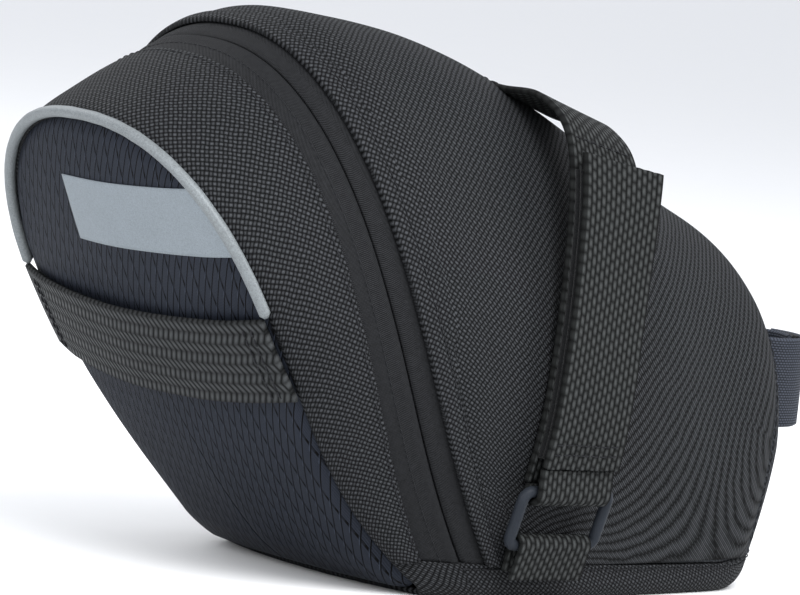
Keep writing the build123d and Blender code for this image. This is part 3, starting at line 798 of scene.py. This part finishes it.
def build_hem():
    """The shell's folded edge: a narrow ridge over the tape, and a low second fold behind it."""
    t = arch_range(ZIP_R - TAPE_FRONT - 2)
    near, far = zip_line(ZIP_R - TAPE_FRONT + 0.4, t), zip_line(ZIP_R - TAPE_FRONT - HEM, t)
    rows = lines_between(near, far, 60)
    share = np.linspace(0, 1, 60)[:, None]
    across = share * (HEM + 0.4)

    def bulge(grid):
        ridge = np.clip(1 - ((across - 1.6) / 1.75) ** 4, 0, 1) ** 0.5 * 0.75
        flat = 0.3 * (1 - share) ** 0.7
        gather = wrinkles(grid, 7.0, 2.0) * 0.14 * np.sin(share * PI)
        return ridge + flat + gather - np.clip((share - 0.85) / 0.15, 0, 1) * 0.5
    piece, grid, n = strip("shell_hem_cloth", rows, t, CLOTH, 1.0, lift=0.12, bulge=bulge)
    settle(piece, "main_shell", "shell_fabric", "shell_hem")
    line = [(grid[23] + n[23] * 0.13, n[23])]
    sewn = stitches("hem_stitching", line, THREAD, pitch=2.7, length=2.0, radius=0.12)
    settle(sewn, "main_shell", "shell_fabric")


# ---- main shell ---------------------------------------------------------------------------
STRAP_PRESS = 18.0


def shell_sag(grid):
    """How the cloth stands out or falls in: broad slack, and the pull of the rail straps."""
    x, y, z = grid[..., 0], np.abs(grid[..., 1]), grid[..., 2]
    slack = wrinkles(grid, 46.0, 7.0) * 1.3 + wrinkles(grid, 19.0, 4.0) * 0.35
    pull = np.exp(-(x / STRAP_PRESS) ** 2) * np.exp(-((z - 60.0) / 40.0) ** 2) * np.clip(y / 40.0, 0, 1)
    crest = np.exp(-((y - 12.0) / 12.0) ** 2) * np.exp(-(x / 14.0) ** 2) * (z > 80)
    return slack - pull * 0.9 - crest * 0.5


def fullness(grid):
    """The load inside rounds out the crest behind the straps and the nose of the bag."""
    x, y, z = grid[..., 0], grid[..., 1], grid[..., 2]
    crest = np.exp(-((x + 12) / 30.0) ** 2) * np.exp(-(y / 26.0) ** 2) * np.clip((z - 60) / 40, 0, 1)
    nose = 1.9 * np.exp(-((x - 72) / 20.0) ** 2) * np.clip((z - 8) / 25, 0, 1)
    return 1.3 * crest + nose


def seam_around(s_values):
    return np.array([seam_t(SEAM_Z, s) for s in s_values])


def build_wrap():
    """The one panel that wraps over both sides, from the hem to the front seam."""
    turns = np.linspace(-1, 1, 321)
    near = zip_line(ZIP_R - TAPE_FRONT - 1.0, arch_range(ZIP_R - TAPE_FRONT - 1.0, count=321))
    far = np.full_like(near, FRONT_SEAM + 0.1)
    rows = lines_between(near, far, 130)
    limits = np.interp(rows, np.linspace(1, 10, 46), seam_around(np.linspace(1, 10, 46)))
    t = turns[None] * limits
    grid = envelope(rows, t)
    n = outward(grid)
    share = np.linspace(0, 1, 130)[:, None]
    edge = np.clip(share * 14, 0, 1) * np.clip((1 - share) * 14, 0, 1)
    edge = edge * np.clip((1 - np.abs(turns)) * 14, 0, 1)[None]
    grid = grid + n * (shell_sag(grid) * edge + fullness(grid))[..., None]
    piece = slab("wrap_panel_cloth", grid, SKIN, CLOTH, normals=n)
    settle(piece, "main_shell", "shell_fabric", "wrap_panel")


def build_front():
    """The front panel: the last sections, closed over the flat front."""
    turns = np.linspace(-1, 1, 241)
    s = np.concatenate([np.linspace(FRONT_SEAM, LAST, 26), np.full(22, LAST)])[:, None]
    limits = seam_around(s[:, 0])[:, None]
    t = turns[None] * limits
    grid = envelope(np.broadcast_to(s, t.shape), t)
    n = outward(grid[:26])
    grid = grid + np.concatenate([n, np.repeat(n[-1:], 22, 0)]) * fullness(grid)[..., None]
    share = np.concatenate([np.zeros(26), np.linspace(0.04, 0.985, 22)])[:, None, None]
    low = np.clip((np.abs(turns) - 0.6) / 0.4, 0, 1)[None]
    tip = np.stack(np.broadcast_arrays(NOSE_X, 0.0, NOSE_Z + (SEAM_Z - NOSE_Z) * low), -1)
    grid = grid * (1 - share) + tip * share
    # The front panel takes the darker, bluer copy of the shell cloth, its colour painted shade.
    piece = slab("front_panel_cloth", grid, SKIN, FRONT_CLOTH_PAINTED_SHADE)
    settle(piece, "main_shell", "shell_fabric", "front_panel")
    n = outward(grid)[3, 6:-6]
    rows = [(grid[3, 6:-6] + n * 0.15, n)]
    settle(stitches("front_seam_stitching", rows, THREAD), "main_shell", "shell_fabric")


def base_strip(name, s_near, s_far, count, level, body, node):
    """The cloth under the bag, from the seam on one side round to the seam on the other."""
    w = np.linspace(-1, 1, 161)
    side = np.where(w < 0, -1.0, 1.0)
    limit = seam_t(level, float(np.mean(s_near)))
    t = side * (1 - np.abs(w) * (1 - limit))
    rows = lines_between(np.interp(np.abs(t), np.linspace(limit, 1, len(s_near)), s_near),
                         np.interp(np.abs(t), np.linspace(limit, 1, len(s_far)), s_far), count)
    grid = envelope(rows, np.broadcast_to(t, rows.shape), 0.15)
    piece = slab(name, grid, SKIN, CLOTH)
    settle(piece, body, "shell_fabric", node)
    return grid


def build_base():
    t = np.linspace(seam_t(SEAM_Z, 2.5), 1, 40)
    near = zip_line(ZIP_R, t)
    far = np.full(40, float(LAST))
    grid = base_strip("bottom_panel_cloth", near, far, 90, SEAM_Z, "main_shell", "bottom_panel")
    n = outward(grid)
    rows = [(grid[:, k] + n[:, k] * 0.2, n[:, k]) for k in (2, -3)]
    settle(stitches("base_seam_stitching", rows, THREAD), "main_shell", "shell_fabric")
    base_strip("rear_base_cloth", dome_line(DOME_R - 0.8, t), zip_line(ZIP_R, t), 24, SEAM_Z,
               "rear_shell", "rear_base")


def build_linings():
    t = np.linspace(-1, 1, 181)
    near = zip_line(ZIP_R - TAPE_FRONT - HEM + 1, t)
    end = LAST - 0.1
    rows = lines_between(near, np.full_like(near, end), 60)
    rows = np.concatenate([rows, np.full((14, len(t)), end)])
    grid = envelope(rows, np.broadcast_to(t, rows.shape), SKIN + 0.35)
    share = np.concatenate([np.zeros(60), np.linspace(0.05, 0.97, 14)])[:, None, None]
    grid = grid * (1 - share) + LINING_TIP * share
    n = outward(grid)
    inward = np.minimum(shell_sag(grid), 0) * 1.1 - 0.25 - 0.25 * wrinkles(grid, 15.0, 2.0)
    grid = grid + n * inward[..., None]
    piece = slab("main_lining_cloth", grid, 0.4, LINING, normals=n)
    settle(piece, "main_shell", "lining", "main_lining")
    t = np.linspace(-0.84, 0.84, 181)
    rows = lines_between(dome_line(DOME_R - 7.5, t), zip_line(ZIP_R + TAPE_REAR - 1.5, t), 20)
    grid = envelope(rows, np.broadcast_to(t, rows.shape), SKIN + 0.35)
    n = outward(grid)
    piece = slab("rear_lining_gusset", grid, 0.4, LINING, normals=n)
    settle(piece, "rear_shell", "lining")
    radius = DOME_R - SKIN - FOAM
    edge_t = np.linspace(-1, 1, 241)
    edge = envelope(dome_line(radius, edge_t), edge_t, SKIN + 0.6)
    edge_y, edge_up = edge[:, 1], (edge - PANEL_DATUM) @ PANEL_UP
    middle_up = (edge_up.max() + edge_up.min()) / 2
    share = np.linspace(0.01, 1.0, 40)[:, None]
    grid = dome_point(edge_y[None] * share, middle_up + (edge_up - middle_up)[None] * share, radius)
    grid = grid - from_dome(grid) * (0.3 + 0.3 * wrinkles(grid, 15.0, 2.0))[..., None]
    piece = slab("rear_lining_panel", grid, 0.5, LINING, normals=-from_dome(grid))
    settle(piece, "rear_shell", "lining", "rear_lining")


# ---- rail straps and their rings ----------------------------------------------------------
# y, z of the strap's middle line: over the rail, then down the side of the bag
STRAP_ARCH = [(11.0, 109.4), (18.0, 108.0), (25.0, 107.6), (33.0, 107.7), (39.0, 106.0), (43.5, 103.3),
              (46.3, 100.0)]
STRAP_SIDE = [(48.3, 95.0), (49.8, 86.0), (50.6, 76.0), (50.9, 66.0), (50.7, 56.0), (50.1, 46.0),
              (49.0, 37.0), (47.0, 28.0)]
STRAP_RUN = STRAP_ARCH + STRAP_SIDE + [(45.4, 22.0)]
RING_TOP, RING_FOOT = np.array([48.9, 25.5]), np.array([45.0, 13.2])


def smooth_curve(points, count=400):
    points = np.asarray(points, float)
    return spline_at(points, natural_spline(points), np.linspace(0, len(points) - 1, count))


def strap_sheet(name, run, away, thick, z_range, side, material, columns=17, width=WEB, ripple=0.0,
                flare=0.0, fall=0.0):
    """One layer of a rail strap. It runs down the side of the bag, its lower end is cut level, and
    its upper end falls to the front. flare lifts the front edge off the bag near the top."""
    curve = smooth_curve(run)
    tangent = np.gradient(curve, axis=0)
    tangent /= np.linalg.norm(tangent, axis=-1, keepdims=True)
    curve = curve + np.stack([-tangent[:, 1], tangent[:, 0]], -1) * away
    columns_out = []
    for x in np.linspace(-width / 2, width / 2, columns):
        y, z = curve[:, 0], curve[:, 1] + STRAP_SLOPE * x
        keep = (z >= z_range[0]) & (z <= z_range[1] - fall * (x / width + 0.5))
        line = np.stack([np.full(keep.sum(), x), y[keep] * side, z[keep]], -1)
        columns_out.append(fixed_count(line, 180))
    grid = np.array(columns_out)
    n = outward(grid, (0.0, 0.0, 60.0))
    lifted = wrinkles(grid, 14.0, 6.0) * ripple
    high = np.clip((grid[..., 2] - 60.0) / 38.0, 0, 1)
    lifted += flare * high ** 2 * np.linspace(0, 1, columns)[:, None] ** 1.3
    grid = grid + n * lifted[..., None]
    across = np.linspace(0, width, columns)[:, None]
    uv = np.stack(np.broadcast_arrays(across, run_lengths(grid, 1)), -1)
    piece = slab(name, grid, thick, material, lift=thick / 2, normals=n, uv=uv)
    return piece, grid, n


def fixed_count(path, count):
    run = np.concatenate([[0], np.cumsum(np.linalg.norm(np.diff(path, axis=0), axis=-1))])
    at = np.linspace(0, run[-1], count)
    return np.stack([np.interp(at, run, path[:, k]) for k in range(3)], -1)


def folded_band(name, centre, radius, thick, far, near, side, material, width=WEB):
    """Webbing turned round a bar, with its two legs, as wide as the strap along X."""
    rise = 1 if far[1] < centre[1] else -1
    angle = np.linspace(PI, 0, 24)
    turn = np.stack([centre[0] + radius * np.cos(angle), centre[1] + rise * radius * np.sin(angle)], -1)
    path = np.concatenate([[(near[0] - radius, near[1])], turn, [(far[0] + radius, far[1])]])
    path = resample(path, 0.5)
    x = np.linspace(-width / 2, width / 2, 13)
    grid = np.stack(np.broadcast_arrays(x[:, None], path[:, 0] * side, path[:, 1]), -1)
    n = normals_of(grid)
    middle = np.array([0.0, centre[0] * side, centre[1]])
    if np.sum(n * (grid - middle)) < 0:
        n = -n
    uv = np.stack(np.broadcast_arrays(x[:, None] + width / 2, run_lengths(grid, 1)), -1)
    return slab(name, grid, thick, material, lift=thick / 2, normals=n, uv=uv)


def build_rail_strap(side_name, side):
    main, ring, tail = "main_shell", "ring_" + side_name, "tail_" + side_name
    piece, grid, n = strap_sheet(f"rail_strap_webbing_{side_name}", STRAP_RUN, 0.0, 1.5, (27.3, 300.0),
                                 side, WEBBING, ripple=0.25)
    settle(piece, main, "webbing", f"rail_strap_{side_name}")
    rows = [(grid[1:-1, k] + n[1:-1, k] * 0.8, n[1:-1, k]) for k in (5, 11, 60)]
    settle(stitches(f"rail_strap_stitching_{side_name}", rows, THREAD), main, "webbing")
    for kind, away, body in (("loop_tape", 1.45, main), ("hook_tape", 2.95, tail)):
        piece, grid, n = strap_sheet(f"{kind}_pile_{side_name}", STRAP_SIDE, away, 1.1, (33.0, 96.0),
                                     side, FUZZ, width=WEB - 0.8, ripple=0.15)
        settle(piece, body, "hook_loop", f"{kind}_{side_name}")
    run = STRAP_ARCH[-2:] + STRAP_SIDE
    piece, grid, n = strap_sheet(f"strap_tail_webbing_{side_name}", run, 4.4, 1.5, (31.0, 100.0),
                                 side, WEBBING, ripple=0.3, flare=4.0, fall=4.7)
    settle(piece, tail, "webbing", f"strap_tail_{side_name}")
    last = grid.shape[1] - 1
    low = last if grid[8, last, 2] < grid[8, 0, 2] else 0
    step = -1 if low else 1
    rows = []
    for k in (low + step * 9, low + step * 15):
        rows.append((grid[1:-1, k] + n[1:-1, k] * 0.85, n[1:-1, k]))
    settle(stitches(f"strap_tail_stitching_{side_name}", rows, THREAD, radius=0.17), tail, "webbing")
    fold = folded_band(f"strap_fold_webbing_{side_name}", RING_TOP, 2.25, 1.5,
                       (RING_TOP[0], 30.7), (RING_TOP[0], 27.0), side, WEBBING)
    settle(fold, ring, "webbing", f"strap_fold_{side_name}")
    tab = folded_band(f"ring_tab_webbing_{side_name}", RING_FOOT, 1.95, 1.0,
                      (42.4, 5.5), (43.8, 7.0), side, WEBBING)
    settle(tab, main, "webbing", f"ring_tab_{side_name}")


# ---- seat-post strap ----------------------------------------------------------------------
def post_band(name, radius, thick, start, end, material, height=WEB, ripple=0.2):
    angle = np.radians(np.linspace(start, end, 120))
    path = np.stack([POST[0] + radius * np.cos(angle), radius * np.sin(angle)], -1)
    path = path[path[:, 0] > 85.0]
    rise = np.linspace(-height / 2, height / 2, 15)[:, None]
    grid = np.stack(np.broadcast_arrays(path[None, :, 0], path[None, :, 1], POST[2] + rise), -1)
    n = grid - POST
    n[..., 2] = 0
    n /= np.linalg.norm(n, axis=-1, keepdims=True)
    grid = grid + n * (wrinkles(grid, 12.0, 9.0) * ripple)[..., None]
    uv = np.stack(np.broadcast_arrays(rise + height / 2, run_lengths(grid, 1)), -1)
    return slab(name, grid, thick, material, lift=thick / 2, normals=n, uv=uv)


def build_post_strap():
    for name, radius, thick, start, end, material, body, slot, node in (
            ("post_strap_outer_band", 14.0, 1.3, -150, 20, POST_WEB,
             "post_outer", "post_strap", "post_strap_outer"),
            ("post_hook_pile", 12.9, 0.75, -32, 18, FUZZ, "post_outer", "hook_loop", "post_hook_tape"),
            ("post_strap_inner_band", 10.7, 1.3, -35, 160, POST_WEB,
             "main_shell", "post_strap", "post_strap_inner"),
            ("post_loop_pile", 11.8, 0.75, -33, 30, FUZZ, "main_shell", "hook_loop", "post_loop_tape")):
        settle(post_band(name, radius, thick, start, end, material), body, slot, node)


# ---- everything ---------------------------------------------------------------------------
build_rear_panel()
build_piping()
build_patch()
build_light_loop()
build_gusset()
zip_tape("rear_zip_tape_cloth", ZIP_R + TAPE_REAR + 2, ZIP_R + COIL_GAP,
         "rear_shell", "zip_tape", "rear_zip_tape")
zip_tape("main_zip_tape_cloth", ZIP_R - COIL_GAP, ZIP_R - TAPE_FRONT - HEM,
         "main_shell", "zip_tape", "main_zip_tape")
zip_coil("rear_coil_wire", 1, "rear_shell", "rear_zip_coil")
zip_coil("main_coil_wire", -1, "main_shell", "main_zip_coil")
build_hem()
build_wrap()
build_front()
build_base()
build_linings()
build_rail_strap("left", 1)
build_rail_strap("right", -1)
build_post_strap()

KEPT = {"base_board": BOARD, "strap_ring_left": RING, "strap_ring_right": RING, "zip_slider": METAL,
        "pull_tab": METAL, "pull_grip": RUBBER}
for node_name, material in KEPT.items():
    for slot_at in bpy.data.objects[node_name].material_slots:
        slot_at.material = material

# ---- floor, light and camera --------------------------------------------------------------
floor_mesh = bpy.data.meshes.new("floor")
floor_mesh.from_pydata([(-6, -6, 0), (6, -6, 0), (6, 6, 0), (-6, 6, 0)], [], [(0, 1, 2, 3)])
floor = bpy.data.objects.new("floor", floor_mesh)
bpy.context.scene.collection.objects.link(floor)
floor_mesh.materials.append(FLOOR)
bpy.context.scene.view_settings.view_transform = "Standard"

world = bpy.data.worlds.new("studio")
bpy.context.scene.world = world
world.use_nodes = True
world.node_tree.nodes["Background"].inputs[0].default_value = (0.93, 0.95, 1.0, 1)
world.node_tree.nodes["Background"].inputs[1].default_value = 0.97


def area_light(name, place, aim, size, power):
    data = bpy.data.lights.new(name, "AREA")
    data.shape, data.size, data.size_y, data.energy = "RECTANGLE", size[0], size[1], power
    lamp = bpy.data.objects.new(name, data)
    lamp.location = place
    lamp.rotation_euler = (Vector(aim) - Vector(place)).to_track_quat("-Z", "Y").to_euler()
    bpy.context.scene.collection.objects.link(lamp)


area_light("key", (-0.15, -0.95, 1.0), (0, 0, 0.05), (0.8, 0.8), 21)
area_light("rear_fill", (-1.1, -0.3, 0.45), (0, 0, 0.06), (0.7, 0.7), 7)
area_light("front_fill", (0.9, -0.7, 0.35), (0.03, 0, 0.05), (0.6, 0.6), 6)
area_light("back", (-0.2, 1.0, 0.8), (0, 0, 0.05), (0.9, 0.9), 6)

CAMERA_AT = (-0.8107, -0.9510, 0.1695)
CAMERA_LENS = 252.72
turn, drop, roll = math.radians(40), math.radians(5), math.radians(6.7)
ahead = Vector((math.sin(turn) * math.cos(drop), math.cos(turn) * math.cos(drop), -math.sin(drop)))
level = Vector((math.cos(turn), -math.sin(turn), 0))
above = level.cross(ahead)
right = level * math.cos(roll) + above * math.sin(roll)
up = above * math.cos(roll) - level * math.sin(roll)
camera_data = bpy.data.cameras.new("camera")
camera_data.lens, camera_data.sensor_width = CAMERA_LENS, 36
camera_data.clip_start, camera_data.clip_end = 0.05, 50
camera = bpy.data.objects.new("camera", camera_data)
turned = Matrix((right, up, -ahead)).transposed().to_4x4()
camera.matrix_world = Matrix.Translation(CAMERA_AT) @ turned
bpy.context.scene.collection.objects.link(camera)
bpy.context.scene.camera = camera
